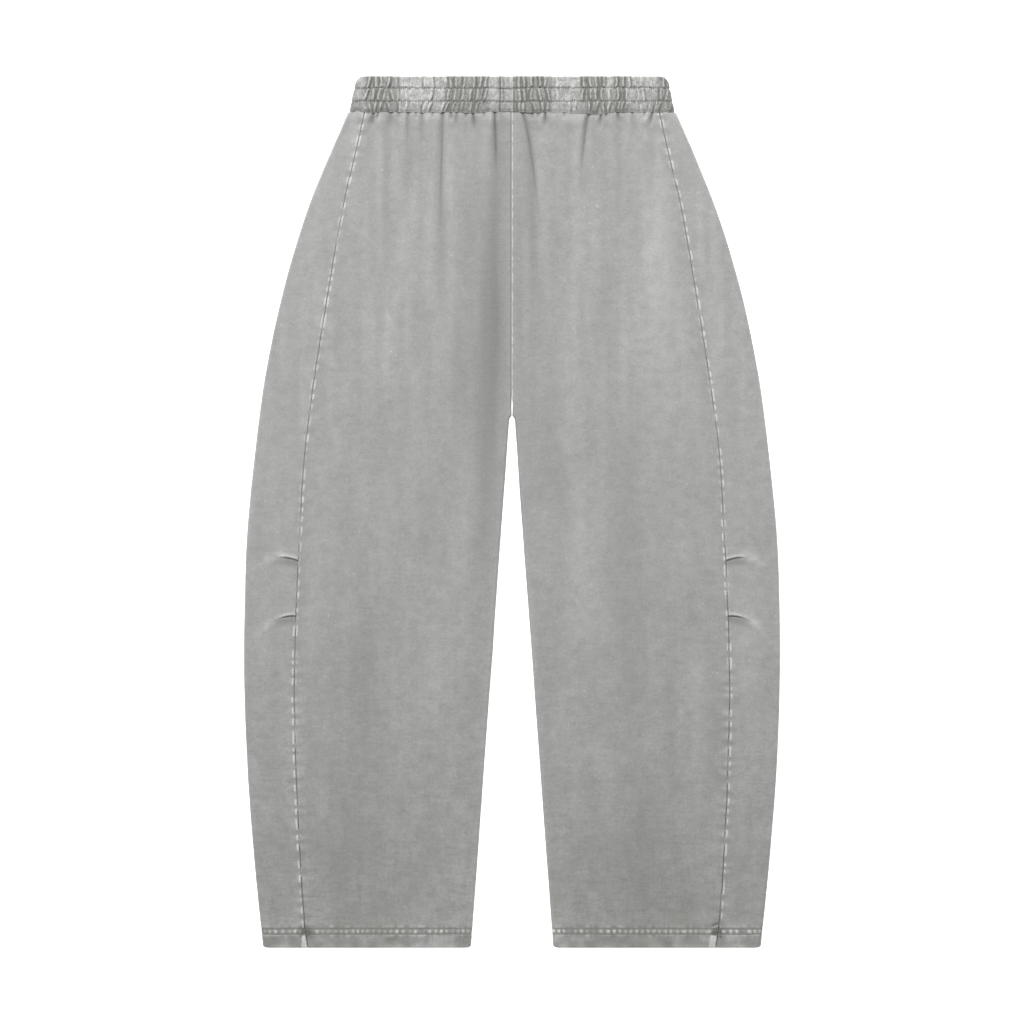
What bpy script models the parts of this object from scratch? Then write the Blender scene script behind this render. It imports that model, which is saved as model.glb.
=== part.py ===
"""Sweatpants laid out flat with the front up: a waistband in two halves and six leg panels.

The tables are in millimetres. "Down" is the distance below the waistband's top edge, "across" the
distance from the centre line, and a height is above the surface that the garment lies on. The
scene is in metres with +Z up, the waistband towards +Y and the wearer's left towards +X.
"""

import math
from collections import namedtuple

import bmesh
import bpy

# Driving sizes
MM = 0.001
LENGTH = 1000.0
SEAM_GAP = 0.3
CLOTH = 2.0
SEAM_DIP = 0.7
SEAM_SHOULDER = 2.2
SHARP_ANGLE = math.radians(40)

# Hem, turned up inside and stitched down
HEM_DEPTH = 21.0
HEM_STEP = 3.0
HEM_WALL = 3.6
HEM_CORNER = 3.4

# Crotch: a narrow round arch, and below it the straight inseam edges
CROTCH_DOWN = 390.1
ARCH_DEPTH = 6.9
INSEAM_START = 354.0
INSEAM_SLOPE = 0.0729
ROLL_START = 362.0
ROLL_STEPS = 3

# Waistband, two layers of cloth over the elastic
BAND_WALL = 4.2
BAND_HEIGHT = 9.2
CREST_RISE = 0.8
DIP_RISE = -0.7
PAD_RISE = 0.5
PAD_WIDTH = 13.0
DIP_BESIDE_PAD = 4.0
BACK_STEPS = 5

# The leg's sections, from under the waistband to the hem
Section = namedtuple("Section", "down outline seam height")
SECTIONS = (
    Section(42.0, 188.0, 169.1, 7.6),
    Section(85.0, 207.5, 178.7, 7.4),
    Section(153.6, 235.1, 194.6, 6.9),
    Section(245.4, 262.7, 210.5, 6.5),
    Section(337.3, 282.2, 225.3, 6.4),
    Section(429.2, 294.8, 237.3, 6.4),
    Section(521.1, 304.0, 243.4, 6.4),
    Section(613.0, 307.5, 247.7, 6.4),
    Section(704.9, 307.5, 249.8, 6.4),
    Section(796.7, 304.0, 247.8, 6.4),
    Section(888.6, 297.1, 243.6, 6.4),
    Section(960.0, 290.1, 239.0, 6.5),
    Section(979.0, 288.0, 237.0, 7.8),
    Section(1000.0, 286.0, 233.9, 8.0),
)

# Where the leg panels have a row of points; the close rows shape the gathers, crotch, tucks and hem
ROWS = (
    42.1, 48, 57, 70, 90, 120, 165, 230, 300, 362, 380, 390.1, 392.5, 397, 430, 545, 551, 556,
    562, 609, 615, 620, 626, 710, 800, 890, 960, 978, 981, 997, 1000,
)

# The waistband's rows: half its width, the height of its upper side, and how far its gathers rise
BandRow = namedtuple("BandRow", "down half height puff")
BAND_ROWS = (
    BandRow(0.0, 172.5, 7.4, 0.2),
    BandRow(1.8, 175.6, 8.8, 0.6),
    BandRow(6.5, 179.2, 9.2, 1.0),
    BandRow(11.7, 180.5, 8.4, 0.3),
    BandRow(20.0, 182.2, 9.3, 1.0),
    BandRow(28.5, 184.0, 8.4, 0.3),
    BandRow(35.0, 185.4, 9.2, 0.9),
    BandRow(41.8, 187.0, 8.5, 0.6),
)

# Crests of the waistband's gathers on its upper side, across from the centre
BAND_CRESTS = {
    "right": (11.7, 31.2, 40.3, 47.2, 57.2, 65.7, 72.7, 93.4, 121.7, 131.7, 138.7, 145.7, 152.4,
              159.6, 166.8),
    "left": (9.0, 14.0, 22.7, 31.6, 41.3, 50.9, 81.9, 90.5, 96.4, 103.0, 110.6, 121.4, 130.9,
             143.9, 150.6, 168.0),
}

# Folds of a front panel under the waistband, from the centre out: where each starts, how far it
# drifts outward on its way down, how far it reaches below the waistband, and its rise or dip
Fold = namedtuple("Fold", "start drift reach rise")
FRONT_FOLDS = {
    "right": (
        Fold(10.5, 0, 120, 0.9),
        Fold(18.5, 1, 340, -1.0),
        Fold(30.0, 1, 130, 1.1),
        Fold(43.5, 1, 30, -0.9),
        Fold(54.0, 1, 80, 1.0),
        Fold(64.0, 1, 30, -0.8),
        Fold(72.0, 1, 150, 1.3),
        Fold(80.5, 2, 160, -1.0),
        Fold(92.0, 3, 120, 1.1),
        Fold(102.5, 4, 70, -0.6),
        Fold(111.0, 4, 90, 0.8),
        Fold(119.5, 4, 90, -0.7),
        Fold(129.0, 4, 70, 0.8),
        Fold(139.5, 4, 50, -0.6),
        Fold(150.0, 4, 60, 0.8),
        Fold(160.5, 3, 30, -0.8),
    ),
    "left": (
        Fold(9.5, 10, 130, 1.2),
        Fold(17.0, 19, 150, -1.1),
        Fold(27.0, 20, 130, 1.3),
        Fold(38.5, 15, 25, -0.7),
        Fold(50.0, 10, 60, 0.6),
        Fold(68.0, 2, 60, 0.6),
        Fold(80.0, -4, 110, 1.0),
        Fold(88.5, -6, 100, -1.1),
        Fold(96.0, -4, 90, 1.1),
        Fold(105.0, 0, 40, -0.7),
        Fold(116.0, 2, 60, 0.8),
        Fold(126.5, 3, 40, -0.7),
        Fold(135.0, 4, 60, 0.7),
        Fold(144.5, 4, 50, -0.6),
        Fold(156.0, 4, 50, 0.8),
    ),
}
FOLD_START = 42.0
FOLD_SWELL = 10.0
FOLD_DRIFT = 140.0

# Knee tucks on a side panel: the row of each one's ridge and of the dip below it
Tuck = namedtuple("Tuck", "ridge dip")
TUCKS = (Tuck(551, 556), Tuck(615, 620))
TUCK_RIDGE = 0.8
TUCK_DIP = 0.6
TUCK_LENGTH = 24.0

# Across a side panel's flat part, from the seam's shoulder to the turned edge, as fractions
SIDE_STEPS = (0.2, 0.42, 0.7)
SIDE_TURN_STEPS = 6
BACK_FRACTIONS = (0.3, 0.65)

# The washed fleece's base colour on each kind of piece
COLOURS = {
    "waistband": (0.430, 0.436, 0.420),
    "front": (0.376, 0.381, 0.366),
    "side": (0.350, 0.356, 0.340),
    "back": (0.360, 0.365, 0.350),
}
ROUGHNESS = 0.95


def ease(value):
    """Zero below 0, one above 1, and a smooth step between."""
    value = min(max(value, 0.0), 1.0)
    return value * value * (3 - 2 * value)


def section(name, down):
    """A size of the leg's sections at any height, on a smooth curve through the table."""
    keys = [row.down for row in SECTIONS]
    values = [getattr(row, name) for row in SECTIONS]
    last = len(keys) - 2
    i = next((k for k in range(last + 1) if down < keys[k + 1]), last)
    run = keys[i + 1] - keys[i]
    t = (down - keys[i]) / run

    def slope(k):
        low, high = max(k - 1, 0), min(k + 1, last + 1)
        return (values[high] - values[low]) / (keys[high] - keys[low]) * run

    rise = values[i + 1] - values[i]
    bend = slope(i) + slope(i + 1) - 2 * rise
    return values[i] + t * (slope(i) + t * (3 * rise - 2 * slope(i) - slope(i + 1) + t * bend))


def hem_corner(down):
    """How far the hem's rounded corner draws the outline in."""
    past = max(down - (LENGTH - HEM_CORNER), 0.0)
    return HEM_CORNER - math.sqrt(HEM_CORNER**2 - past**2)


def outline(down):
    """Half the width of the laid garment."""
    return section("outline", down) - hem_corner(down)


def inseam(down):
    """Distance of a panel's inner edge from the centre line."""
    arch_foot = CROTCH_DOWN + ARCH_DEPTH
    straight = (max(down, arch_foot) - INSEAM_START) * INSEAM_SLOPE
    if down <= CROTCH_DOWN:
        return SEAM_GAP / 2
    if down >= arch_foot:
        return straight + hem_corner(down)
    left_of_arch = (arch_foot - down) / ARCH_DEPTH
    return max(SEAM_GAP / 2, straight * math.sqrt(1 - left_of_arch**2))


def cloth_at(down):
    """Thickness of one wall, doubled and pressed at the turned-up hem."""
    turned = ease((down - (LENGTH - HEM_DEPTH)) / HEM_STEP + 0.5)
    return CLOTH + (HEM_WALL - CLOTH) * turned


def inner_edge(down):
    """Four outer and inner points at a panel's inner edge, flat at the seam and rolled at the leg."""
    height, cloth, start = section("height", down), cloth_at(down), inseam(down)
    rolled = ease((down - ROLL_START) / (CROTCH_DOWN - ROLL_START))
    middle, radius = (height + SEAM_GAP) / 2, height / 2
    points = []
    for step in range(ROLL_STEPS + 1):
        share = step / ROLL_STEPS
        angle = share * math.pi / 2
        pair = []
        for inset, dip in ((0.0, SEAM_DIP), (cloth, 0.0)):
            flat = (start + radius * share, height - inset - dip * (1 - ease(share * 1.5)))
            reach, rise = radius - inset, height - inset - middle
            bent = (start + radius - reach * math.cos(angle), middle + rise * math.sin(angle))
            pair.append(tuple(a + (b - a) * rolled for a, b in zip(flat, bent)))
        points.append(pair)
    return points


def fold_place(fold, down):
    """Where a fold's line lies at this height; further out it spreads with the widening panel."""
    top_seam = SECTIONS[0].seam
    share = fold.start / top_seam
    drift = fold.drift * ease((down - FOLD_START) / FOLD_DRIFT)
    spread = (section("seam", down) - top_seam) * share**3
    return fold.start + drift + spread + inseam(down) * (1 - share) ** 2


def fold_rise(fold, down):
    """A fold's rise: it swells just under the waistband and fades at the end of its reach."""
    below = down - FOLD_START
    swell = 0.4 + 0.6 * ease(below / FOLD_SWELL)
    fade = 1 - ease((below / fold.reach - 0.35) / 0.65)
    return fold.rise * swell * fade


def outer_edge(down):
    """Two outer and inner points where a front or back panel meets the side panel."""
    height, seam = section("height", down), section("seam", down)
    inside = height - cloth_at(down)
    across = (seam - SEAM_SHOULDER, seam - SEAM_GAP / 2)
    tops = (height, height - SEAM_DIP)
    return [((x, z), (x, inside)) for x, z in zip(across, tops)]


def front_row(down, folds):
    """A front panel's outer and inner points at one height."""
    height = section("height", down)
    inside = height - cloth_at(down)
    points = inner_edge(down)
    for fold in folds:
        across = fold_place(fold, down)
        points.append(((across, height + fold_rise(fold, down)), (across, inside)))
    return points + outer_edge(down)


def back_row(down):
    """A back panel's points: a plain front panel's, turned over onto the surface."""
    height = section("height", down)
    inside = height - cloth_at(down)
    start = inseam(down) + height / 2
    reach = section("seam", down) - SEAM_SHOULDER - start
    points = inner_edge(down)
    for fraction in BACK_FRACTIONS:
        across = start + reach * fraction
        points.append(((across, height), (across, inside)))
    return [turned_over(pair, height) for pair in points + outer_edge(down)]


def turned_over(pair, height):
    """The same outer and inner point on the underside."""
    return tuple((across, height - z) for across, z in pair)


def turned_side(half, height, thickness):
    """Points round the garment's side edge, from its upper side to its underside."""
    radius = height / 2
    points = []
    for step in range(SIDE_TURN_STEPS + 1):
        angle = math.pi / 2 - step * math.pi / SIDE_TURN_STEPS
        pair = [
            (half - radius + reach * math.cos(angle), radius + reach * math.sin(angle))
            for reach in (radius, radius - thickness)
        ]
        points.append(tuple(pair))
    return points


def tuck_rise(down, beyond):
    """Rise of the knee tucks, which start at the front seam and fade across the side panel."""
    fade = 1 - ease(beyond / TUCK_LENGTH)
    for tuck in TUCKS:
        if down == tuck.ridge:
            return TUCK_RIDGE * fade
        if down == tuck.dip:
            return -TUCK_DIP * fade
    return 0.0


def side_row(down):
    """A side panel's points, from the front seam round the side edge to the back seam."""
    height, cloth = section("height", down), cloth_at(down)
    seam, half = section("seam", down), outline(down)
    shoulder = seam + SEAM_SHOULDER
    reach = half - height / 2 - shoulder
    flat = [((seam + SEAM_GAP / 2, height - SEAM_DIP), (seam + SEAM_GAP / 2, height - cloth))]
    for fraction in (0.0,) + SIDE_STEPS:
        across = shoulder + reach * fraction
        flat.append(((across, height), (across, height - cloth)))
    front = [
        ((outer[0], outer[1] + tuck_rise(down, outer[0] - seam)), inner)
        for outer, inner in flat
    ]
    back = [turned_over(pair, height) for pair in reversed(flat)]
    return front + turned_side(half, height, cloth) + back


def band_columns(crests):
    """Places and rises across the waistband: crests, the dips between, and the wide smooth pads."""
    columns = [(crests[0] / 2, PAD_RISE), (crests[0], CREST_RISE)]
    for near, far in zip(crests, crests[1:]):
        if far - near < PAD_WIDTH:
            columns.append(((near + far) / 2, DIP_RISE))
        else:
            columns.append((near + DIP_BESIDE_PAD, DIP_RISE))
            columns.append(((near + far) / 2, PAD_RISE))
            columns.append((far - DIP_BESIDE_PAD, DIP_RISE))
        columns.append((far, CREST_RISE))
    return columns


def band_row(row, crests):
    """The waistband half's points, from the centre front round the side to the centre back."""
    inside = BAND_HEIGHT - BAND_WALL
    flat_end = row.half - BAND_HEIGHT / 2
    stretch = row.half / BAND_ROWS[-1].half
    start = SEAM_GAP / 2
    points = [((start, row.height), (start, inside))]
    for across, rise in band_columns(crests):
        place = across * stretch
        points.append(((place, row.height + rise * row.puff), (place, inside)))
    points += [
        (scaled(outer, row.height), scaled(inner, BAND_HEIGHT))
        for outer, inner in turned_side(row.half, BAND_HEIGHT, BAND_WALL)
    ]
    for step in range(BACK_STEPS - 1, -1, -1):
        place = start + (flat_end - start) * step / BACK_STEPS
        points.append(((place, 0.0), (place, BAND_WALL)))
    return points


def scaled(point, height):
    """A point of the full-height turn, brought down to this row's height."""
    return point[0], point[1] * height / BAND_HEIGHT


def wall(kind, side, rows):
    """A closed wall between a grid of outer points and a grid of inner points."""
    name = kind + "_" + side
    across_sign = 1 if side == "left" else -1
    mesh = bpy.data.meshes.new(name)
    shape = bmesh.new()
    skins = []
    for skin in (0, 1):
        grid = []
        for down, points in rows:
            along = (LENGTH / 2 - down) * MM
            places = [(across_sign * pair[skin][0] * MM, along, pair[skin][1] * MM) for pair in points]
            grid.append([shape.verts.new(place) for place in places])
        skins.append(grid)
    outer, inner = skins
    for grid in skins:
        for upper, lower in zip(grid, grid[1:]):
            for i in range(len(upper) - 1):
                shape.faces.new((upper[i], upper[i + 1], lower[i + 1], lower[i]))
    rims = [(outer[0], inner[0]), (outer[-1], inner[-1])]
    rims += [([row[i] for row in outer], [row[i] for row in inner]) for i in (0, -1)]
    for above, below in rims:
        for i in range(len(above) - 1):
            shape.faces.new((above[i], above[i + 1], below[i + 1], below[i]))
    bmesh.ops.recalc_face_normals(shape, faces=shape.faces)
    shape.to_mesh(mesh)
    shape.free()
    mesh.shade_smooth()
    mesh.set_sharp_from_angle(angle=SHARP_ANGLE)
    mesh.materials.append(fleece(name, COLOURS[kind]))
    return bpy.data.objects.new(name, mesh)


def fleece(name, colour):
    """The piece's own matt cloth material."""
    material = bpy.data.materials.new(name)
    material.use_nodes = True
    shader = material.node_tree.nodes["Principled BSDF"]
    shader.inputs["Base Color"].default_value = (*colour, 1.0)
    shader.inputs["Roughness"].default_value = ROUGHNESS
    shader.inputs["Metallic"].default_value = 0.0
    return material


def clear_scene():
    """Removes what the file opened with."""
    for thing in list(bpy.data.objects):
        bpy.data.objects.remove(thing)


def build_sweatpants():
    """Puts the eight cut pieces into their collection."""
    garment = bpy.data.collections.new("sweatpants")
    bpy.context.scene.collection.children.link(garment)
    for side in ("right", "left"):
        crests, folds = BAND_CRESTS[side], FRONT_FOLDS[side]
        grids = {
            "waistband": [(row.down, band_row(row, crests)) for row in BAND_ROWS],
            "front": [(down, front_row(down, folds)) for down in ROWS],
            "side": [(down, side_row(down)) for down in ROWS],
            "back": [(down, back_row(down)) for down in ROWS],
        }
        for kind, rows in grids.items():
            garment.objects.link(wall(kind, side, rows))


clear_scene()
build_sweatpants()
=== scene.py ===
# %% [markdown]
# # Sweatpants laid out flat
# Barrel-leg pull-on sweatpants of washed grey fleece, front up. The frame holds eight plain solids,
# one for each cut piece. Each is replaced here by a fine wall of the same form that also has the
# gathers, creases, seam puckers and wear of the real cloth. Thread is added on top by Geometry Nodes.

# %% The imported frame
from collections import namedtuple

import bmesh
import bpy
import numpy as np
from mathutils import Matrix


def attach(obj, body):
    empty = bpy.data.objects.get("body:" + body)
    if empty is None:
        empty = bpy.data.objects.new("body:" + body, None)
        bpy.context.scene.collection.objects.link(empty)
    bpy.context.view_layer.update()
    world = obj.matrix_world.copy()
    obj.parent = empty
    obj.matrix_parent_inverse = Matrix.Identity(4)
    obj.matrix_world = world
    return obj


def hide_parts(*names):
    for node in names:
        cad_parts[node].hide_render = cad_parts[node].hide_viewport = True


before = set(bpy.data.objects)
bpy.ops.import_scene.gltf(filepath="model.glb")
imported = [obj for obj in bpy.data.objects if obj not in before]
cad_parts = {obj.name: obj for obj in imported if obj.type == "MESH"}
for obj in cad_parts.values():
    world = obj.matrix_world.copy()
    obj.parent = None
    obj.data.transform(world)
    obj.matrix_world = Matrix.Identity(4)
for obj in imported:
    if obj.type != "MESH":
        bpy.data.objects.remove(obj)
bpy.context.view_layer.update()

# %% [markdown]
# ## The garment's sizes
# Everything is worked out in millimetres, as a pattern cutter would, and turned into metres when a
# mesh is made. "Down" is the distance below the waistband's top edge and "across" the distance from
# the centre line. The section table is the one that the solids were built from.

# %% Sizes of the cut
MM = 0.001
LENGTH = 1000.0
SEAM_GAP = 0.3
CLOTH = 2.0
HEM_DEPTH = 21.0
HEM_STEP = 3.0
HEM_WALL = 3.6
HEM_CORNER = 3.4
CROTCH_DOWN = 390.1
ARCH_DEPTH = 6.9
INSEAM_START = 354.0
INSEAM_SLOPE = 0.0729
ROLL_START = 362.0
BAND_DEPTH = 41.8
BAND_WALL = 4.2
BAND_HEIGHT = 9.2
PANEL_TOP = 42.1
SCALE = {"right": np.array([-MM, MM, MM]), "left": np.array([MM, MM, MM])}


def table(columns, *rows, usual=()):
    """Rows that are read by their columns' names; usual is what the last ones hold if left out."""
    row_type = namedtuple("Row", columns, defaults=usual)
    return [row_type(*row) for row in rows]


SECTIONS = table(
    "down outline seam height",
    (42.0, 188.0, 169.1, 7.6), (85.0, 207.5, 178.7, 7.4), (153.6, 235.1, 194.6, 6.9),
    (245.4, 262.7, 210.5, 6.5), (337.3, 282.2, 225.3, 6.4), (429.2, 294.8, 237.3, 6.4),
    (521.1, 304.0, 243.4, 6.4), (613.0, 307.5, 247.7, 6.4), (704.9, 307.5, 249.8, 6.4),
    (796.7, 304.0, 247.8, 6.4), (888.6, 297.1, 243.6, 6.4), (960.0, 290.1, 239.0, 6.5),
    (979.0, 288.0, 237.0, 7.8), (1000.0, 286.0, 233.9, 8.0),
)
BAND_SECTIONS = table(
    "down half",
    (0.0, 171.8), (1.8, 175.6), (6.5, 179.2), (11.7, 180.5), (20.0, 182.2), (28.5, 184.0),
    (35.0, 185.4), (41.8, 187.0),
)

# %% [markdown]
# ## Small helpers for shapes
# NumPy works on a whole panel at once: every helper takes arrays and gives arrays back. A bell is a
# soft bump, ease a soft step, and cloud a seeded noise, so the cloth is uneven in the same way on
# each run.

# %% Curves, bells and seeded noise
LATTICE = 97


def ease(value):
    """Zero below 0, one above 1, and a smooth step between."""
    value = np.clip(value, 0.0, 1.0)
    return value * value * (3 - 2 * value)


def bell(distance, width):
    """One at no distance, fading to nothing about two widths away."""
    return np.exp(-((distance / width) ** 2))


def through(rows, name, down):
    """A table's value at any distance down, on a smooth curve through its rows."""
    keys, values = (np.array([getattr(row, column) for row in rows]) for column in ("down", name))
    low = np.maximum(np.arange(len(keys)) - 1, 0)
    high = np.minimum(np.arange(len(keys)) + 1, len(keys) - 1)
    slopes = (values[high] - values[low]) / (keys[high] - keys[low])
    i = np.clip(np.searchsorted(keys, down, side="right") - 1, 0, len(keys) - 2)
    run = keys[i + 1] - keys[i]
    t = (down - keys[i]) / run
    start, end = slopes[i] * run, slopes[i + 1] * run
    rise = values[i + 1] - values[i]
    return values[i] + t * (start + t * (3 * rise - 2 * start - end + t * (start + end - 2 * rise)))


def cloud(across, down, size, seed):
    """Smooth noise from -1 to 1; size is a lump's width and length in millimetres."""
    grid = np.random.default_rng(seed).uniform(-1, 1, (LATTICE, LATTICE))
    u, v = across / size[0], down / size[1]
    i, j = np.floor(u).astype(int), np.floor(v).astype(int)
    s, t = ease(u - i), ease(v - j)
    near, far = (
        grid[i % LATTICE, k % LATTICE] * (1 - s) + grid[(i + 1) % LATTICE, k % LATTICE] * s
        for k in (j, j + 1)
    )
    return near * (1 - t) + far * t


def strand(place, lane, size, seed):
    """Noise along one line, such as a seam or a row; each lane of it is another noise."""
    return cloud(place, place * 0 + lane, size, seed)


def stepped(*stops):
    """Places from stop to stop: each stop gives where it starts and the step that it aims at."""
    places = []
    for (start, step), (end, _) in zip(stops, stops[1:]):
        count = max(round((end - start) / step), 1)
        places += [start + (end - start) * k / count for k in range(count)]
    return np.array(places + [stops[-1][0]])


print("seam at the knee:", round(float(through(SECTIONS, "seam", np.array(556.0))), 1), "mm")

# %% The cut's edges at any height


def hem_corner(down):
    """How far the hem's rounded corner draws the outline in."""
    past = np.maximum(down - (LENGTH - HEM_CORNER), 0.0)
    return HEM_CORNER - np.sqrt(HEM_CORNER**2 - past**2)


def outline(down):
    """Half the width of the laid garment."""
    return through(SECTIONS, "outline", down) - hem_corner(down)


def inseam(down):
    """Distance of a panel's inner edge from the centre line: seam, round arch, straight edge."""
    foot = CROTCH_DOWN + ARCH_DEPTH
    straight = (np.maximum(down, foot) - INSEAM_START) * INSEAM_SLOPE
    arch = straight * np.sqrt(1 - np.clip((foot - down) / ARCH_DEPTH, 0, 1) ** 2)
    return np.maximum(SEAM_GAP / 2, arch) + hem_corner(down)


def rolled(down):
    """Zero where the centre seam holds the panels flat, one where the inseam edge is rolled."""
    return ease((down - ROLL_START) / (CROTCH_DOWN - ROLL_START))


def lower_leg(down):
    """Zero down to the knee, and one on the lower leg."""
    return ease((down - 600) / 150)


def cloth_at(down):
    """Thickness of one wall, doubled and pressed at the turned-up hem."""
    return CLOTH + (HEM_WALL - CLOTH) * ease((down - (LENGTH - HEM_DEPTH)) / HEM_STEP + 0.5)


# %% [markdown]
# ## Relief, wear and painted light
# Washed fleece shows its making twice: as relief, and as colour, because the wash takes the dye off
# whatever stands proud and leaves it in the hollows. So each feature adds to three fields at once:
# how far the cloth rises, how pale it is painted and how dark it is painted. The pale field holds
# wear and also painted highlights on puffs, fold tops and edges; the dark field holds dye kept in
# the hollows and also painted shade in creases, beside ridges and under folds. The material reads
# the last two as attributes.

# %% The three fields


class Relief:
    """Rise in millimetres, paleness (wear, painted highlight) and darkness (dye, painted shade) on a grid.
    """

    def __init__(self, across, down):
        self.across = across
        self.down = np.broadcast_to(down, across.shape)
        self.rise, self.worn, self.deep = (np.zeros(across.shape) for _ in range(3))

    def add(self, share, rise=0.0, worn=0.0, deep=0.0):
        """A feature whose strength at each place is share."""
        self.rise += rise * share
        self.worn += worn * share
        self.deep += deep * share

    def patches(self, share, noise, up=0.0, worn=0.0, sink=0.0, deep=0.0):
        """Noise whose highs stand up and are painted pale, and whose lows sink and are painted dark."""
        self.add(share * np.maximum(noise, 0), rise=up, worn=worn)
        self.add(share * np.maximum(-noise, 0), rise=-sink, deep=deep)

    def noise(self, size, seed):
        """Noise over the whole grid."""
        return cloud(self.across, self.down, size, seed)


# %% Slack cloth and the soft folds that run down each leg
FOLD = "across foot top base width depth"
SOFT_FOLDS = {
    "right": table(
        FOLD,
        (17.5, 20, -60, 520, 8, 1.35), (27, 31, 40, 680, 13, 1.15), (80, 84, -60, 350, 6, 0.85),
        (47, 52, -40, 270, 7, 0.5), (116, 120, -40, 220, 5, 0.5), (103, 106, -40, 230, 4, 0.45),
        (140, 146, -40, 250, 6, 0.5), (160, 166, -30, 150, 5, 0.35), (104, 150, 70, 380, 8, -0.75),
        (68, 71, 60, 330, 6, -0.5), (5, 7, -60, 470, 10, 0.4), (42, 56, 60, 520, 28, 0.75),
        (48, 112, 440, 830, 24, -0.5), (172, 170, 600, 850, 26, 0.75), (174, 180, 760, 1100, 40, 0.75),
        (226, 226, 480, 720, 8, -0.3), (272, 270, 800, 1080, 18, 0.5), (96, 92, 380, 640, 12, 0.2),
    ),
    "left": table(
        FOLD,
        (12, 30, -60, 290, 6, 0.8), (10, 14, -60, 560, 16, 0.5), (168, 180, 60, 330, 14, -0.5),
        (88, 80, -20, 190, 5, 0.6), (158, 174, 90, 440, 30, -0.75), (38, 46, 330, 520, 14, 0.8),
        (70, 96, 440, 720, 19, -0.6), (128, 150, 340, 1040, 20, 0.5), (212, 216, 620, 870, 10, -0.6),
        (181, 187, 620, 920, 9, 0.5), (122, 128, -20, 260, 6, 0.4), (74, 80, 120, 330, 6, -0.3),
        (150, 150, 840, 1130, 80, 1.0), (272, 274, 500, 780, 12, -0.6), (262, 262, 700, 920, 8, -0.35),
        (104, 112, 640, 960, 14, -0.25),
    ),
}


def soft_folds(relief, side):
    """Shallow valleys with painted shade, and where depth is negative ridges with a painted highlight."""
    for fold in SOFT_FOLDS[side]:
        t = (relief.down - fold.top) / (fold.base - fold.top)
        line = fold.across + (fold.foot - fold.across) * t
        width = fold.width * (0.8 + 0.4 * np.clip(t, 0, 1))
        share = bell(relief.across - line, width) * ease(t / 0.3) * ease((1 - t) / 0.35)
        # The light on these folds is painted: shade in the valleys and a highlight on the ridges
        worn, deep = 0.2 * max(-fold.depth, 0), 0.25 * max(fold.depth, 0)
        relief.add(share, rise=-0.9 * fold.depth, worn=worn, deep=deep)


def slack(relief, seed):
    """Broad soft unevenness of cloth that was smoothed out by hand."""
    relief.add(relief.noise((60, 110), seed), rise=0.3)
    relief.add(relief.noise((22, 60), seed + 1), rise=0.22)
    relief.add(relief.noise((13, 17), seed + 2), rise=0.06)
    streaks = relief.noise((8, 95), seed + 4) * (1 - 0.6 * ease((relief.down - 330) / 120))
    relief.patches(1, streaks, worn=0.11, deep=0.11)


# %% [markdown]
# ## Seams
# A stitched seam pulls the cloth down into a sharp groove. Its turnings lie to one side, where they
# lift the cloth into a low ridge that the wash has worn pale. The stitching also shortens the seam,
# so the cloth beside it puckers, and the pale ridge is broken into dashes.

# %% A seam's groove, ridge and puckers
PUCKER_LENGTH = 14.5
HEM_ROWS = (978.4, 984.2)


def pucker_wave(down, seed):
    """The puckers along a seam, from -1 to 1, with an uneven spacing."""
    return np.sin(2 * np.pi * (down / PUCKER_LENGTH + strand(down, 3.5, (17, 10), seed) * 0.62))


def dashes(down, seed):
    """The broken pale ridge, from 0 to 1: present on a pucker's crest and lost in its hollow."""
    strength = 0.85 + 0.75 * strand(down, 7.5, (23, 10), seed + 5)
    fray = 0.35 * strand(down, 1.5, (3, 10), seed + 9)
    low = lower_leg(down)
    crest = pucker_wave(down, seed) * (1.1 + 0.5 * low) + 0.6 - 0.05 * low
    return (1 - 0.2 * low) * ease(crest + fray) * np.clip(strength, 0.15, 1.1)


def seam_wander(down, seed):
    """How far a side seam wanders from its smooth curve, in millimetres, pulled in by each pucker."""
    return 0.12 * pucker_wave(down, seed) + 0.4 * strand(down, 2.5, (15, 10), seed + 3)


SeamLine = namedtuple("SeamLine", "place deep ridge")


def seam_edge(relief, beside, ridge, seed, hold=1.0, pull=1.0, line=SeamLine(0.0, 0.24, 0.8)):
    """The cloth beside a seam, with painted highlight and shade on its puckers.

    beside is the distance from it, ridge the share of its wear on this side, hold where it is sewn,
    pull how much it puckers, and line its dark line and the half width of its pale ridge."""
    near = np.maximum(beside, 0)
    relief.add(hold * bell(near, 0.75), rise=-0.75)
    relief.add(hold * bell(near - line.place, 0.8), deep=line.deep)
    relief.add(hold * bell(near, 3.6), rise=-0.2, deep=0.03)
    wave = pull * pucker_wave(relief.down, seed)
    relief.add(hold * wave * np.exp(-near / 6.0) * ease(near / 1.5), rise=0.28)
    # Painted highlight on each pucker's crest and painted shade in its hollow
    patchy = 0.6 + 0.6 * relief.noise((7, 9), seed + 11)
    relief.add(hold * patchy * np.maximum(wave, 0) * bell(near - 4.5, 4.5), worn=0.18)
    relief.add(hold * patchy * np.maximum(-wave, 0) * bell(near - 3.5, 4.5), deep=0.2)
    dash = hold * np.minimum(ridge * 1.3, 1) * dashes(relief.down, seed)
    dash = dash * ease((HEM_ROWS[0] - relief.down) / 2)
    width = line.ridge * (1 + 0.2 * lower_leg(relief.down))
    relief.add(dash * ease(1.4 * bell(near - 0.7 * line.ridge - width, width)), rise=0.45, worn=1.5)


# %% Hem: turned up, with two rows of stitching
HEM_BLOB = 6.7


def hem_wander(across, down):
    """How far the hem's stitched rows wander up and down, in millimetres."""
    fine, wide = strand(across, 0, (3, 9), 31), strand(across, 0, (19, 9), 32)
    return 0.3 * bell(down - 982, 5) * (fine + wide)


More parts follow.
